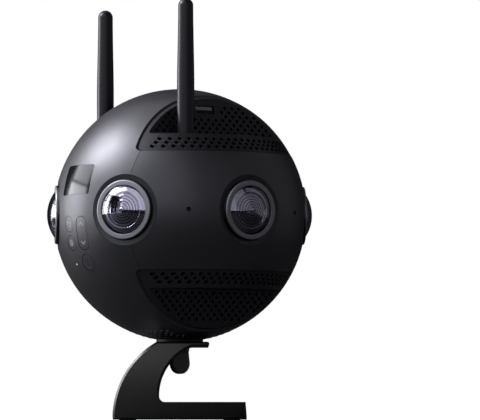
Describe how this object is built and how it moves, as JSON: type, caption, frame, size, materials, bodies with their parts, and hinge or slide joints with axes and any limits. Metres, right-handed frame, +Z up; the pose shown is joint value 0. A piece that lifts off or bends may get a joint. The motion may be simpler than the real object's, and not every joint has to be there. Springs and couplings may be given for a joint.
{
  "type": "360 degree camera",
  "caption": "Ball-shaped panoramic camera with domed lenses around its equator, perforated vents, upright antennas, front controls and a bent desk stand.",
  "frame": {"origin": "on the table, under the ball's centre, at the middle of the part's box", "axes": "+Z up; -Y is the front with display and buttons; +X the side with the USB port"},
  "size_m": [0.1502, 0.143, 0.2345],
  "materials": {
    "housing_paint": "satin black fine-textured paint",
    "vent_plastic": "matt moulded plastic",
    "bezel_metal": "dark anodised, turned",
    "dome_glass": "coated glass",
    "element_glass": "coated glass",
    "barrel_black": "matt black",
    "sensor_silicon": "glossy",
    "circuit_board": "green solder mask",
    "screw_steel": "plated",
    "frame_aluminium": "milled",
    "fan_plastic": "moulded",
    "seal_rubber": "matt",
    "antenna_plastic": "satin moulded",
    "socket_brass": "plated",
    "display_glass": "glossy black window",
    "button_plastic": "satin moulded",
    "light_pipe": "frosted",
    "port_steel": "drawn steel",
    "battery_plastic": "satin moulded",
    "stand_paint": "satin black powder coat",
    "pad_rubber": "matt"
  },
  "bodies": {
    "stand": {"stand_arm": "stand_paint", "stand_top_pad": "pad_rubber", "stand_foot_pads": "pad_rubber"},
    "camera": {"main_housing": "housing_paint", "right_side_shell": "housing_paint", "left_side_shell": "housing_paint", "tripod_mount_plate": "frame_aluminium", "upper_right_vent_shelf": "vent_plastic", "upper_right_vent_grille": "vent_plastic", "upper_left_vent_shelf": "vent_plastic", "upper_left_vent_grille": "vent_plastic", "lower_right_vent_shelf": "vent_plastic", "lower_right_vent_grille": "vent_plastic", "lower_left_vent_shelf": "vent_plastic", "lower_left_vent_grille": "vent_plastic", "front_left_lens_bezel": "bezel_metal", "front_left_lens_dome": "dome_glass", "front_right_lens_bezel": "bezel_metal", "front_right_lens_dome": "dome_glass", "right_lens_bezel": "bezel_metal", "right_lens_dome": "dome_glass", "rear_right_lens_bezel": "bezel_metal", "rear_right_lens_dome": "dome_glass", "rear_left_lens_bezel": "bezel_metal", "rear_left_lens_dome": "dome_glass", "left_lens_bezel": "bezel_metal", "left_lens_dome": "dome_glass", "lens_seals": "seal_rubber", "lens_barrels": "barrel_black", "inner_lens_elements": "element_glass", "image_sensors": "sensor_silicon", "sensor_boards": "circuit_board", "sensor_board_screws": "screw_steel", "core_frame": "frame_aluminium", "main_board": "circuit_board", "processor": "sensor_silicon", "heat_sink": "frame_aluminium", "fan_frame": "fan_plastic", "microphones": "frame_aluminium", "button_board": "circuit_board", "status_light": "light_pipe", "display_window": "display_glass", "display_module": "sensor_silicon", "battery_tray": "fan_plastic", "battery_contacts": "socket_brass", "usb_port": "port_steel", "network_port": "port_steel", "antenna_sockets": "socket_brass"},
    "fan": {"fan_impeller": "fan_plastic"},
    "battery": {"battery_pack": "battery_plastic"},
    "right_antenna": {"right_antenna": "antenna_plastic"},
    "left_antenna": {"left_antenna": "antenna_plastic"},
    "back_button": {"back_button": "button_plastic"},
    "settings_button": {"settings_button": "button_plastic"},
    "rocker": {"up_down_rocker": "button_plastic"},
    "shutter_button": {"shutter_button": "button_plastic"},
    "thumbscrew": {"thumbscrew": "screw_steel"}
  },
  "joints": [
    {"name": "ball_turn", "type": "hinge", "parent": "stand", "child": "camera", "pos_m": [0, 0, 0.0445], "axis": [0, 0, 1], "continuous": true},
    {"name": "thumbscrew_turn", "type": "hinge", "parent": "stand", "child": "thumbscrew", "pos_m": [0, 0, 0.04], "axis": [0, 0, 1], "continuous": true},
    {"name": "right_antenna_turn", "type": "hinge", "parent": "camera", "child": "right_antenna", "pos_m": [0.04115, -0.02376, 0.159], "axis": [0, 0, 1], "continuous": true},
    {"name": "left_antenna_turn", "type": "hinge", "parent": "camera", "child": "left_antenna", "pos_m": [-0.04115, -0.02376, 0.159], "axis": [0, 0, 1], "continuous": true},
    {"name": "back_button_press", "type": "slide", "parent": "camera", "child": "back_button", "axis": [0, 0.9771, 0.2126], "range_m": [0, 0.0008], "stiffness_N_per_m": 400, "springref_m": -0.0005},
    {"name": "settings_button_press", "type": "slide", "parent": "camera", "child": "settings_button", "axis": [0, 0.9771, 0.2126], "range_m": [0, 0.0008], "stiffness_N_per_m": 400, "springref_m": -0.0005},
    {"name": "shutter_button_press", "type": "slide", "parent": "camera", "child": "shutter_button", "axis": [0, 0.9771, 0.2126], "range_m": [0, 0.0008], "stiffness_N_per_m": 400, "springref_m": -0.0005},
    {"name": "rocker_tilt", "type": "hinge", "parent": "camera", "child": "rocker", "pos_m": [0.0068, -0.06496, 0.10503], "axis": [1, 0, 0], "range_deg": [-2.2, 2.2], "stiffness_Nm_per_rad": 0.05},
    {"name": "fan_spin", "type": "hinge", "parent": "camera", "child": "fan", "pos_m": [0, 0, 0.155], "axis": [0, 0, 1], "continuous": true},
    {"name": "battery_slide", "type": "slide", "parent": "camera", "child": "battery", "axis": [0, 1, 0], "range_m": [0, 0.07]}
  ]
}
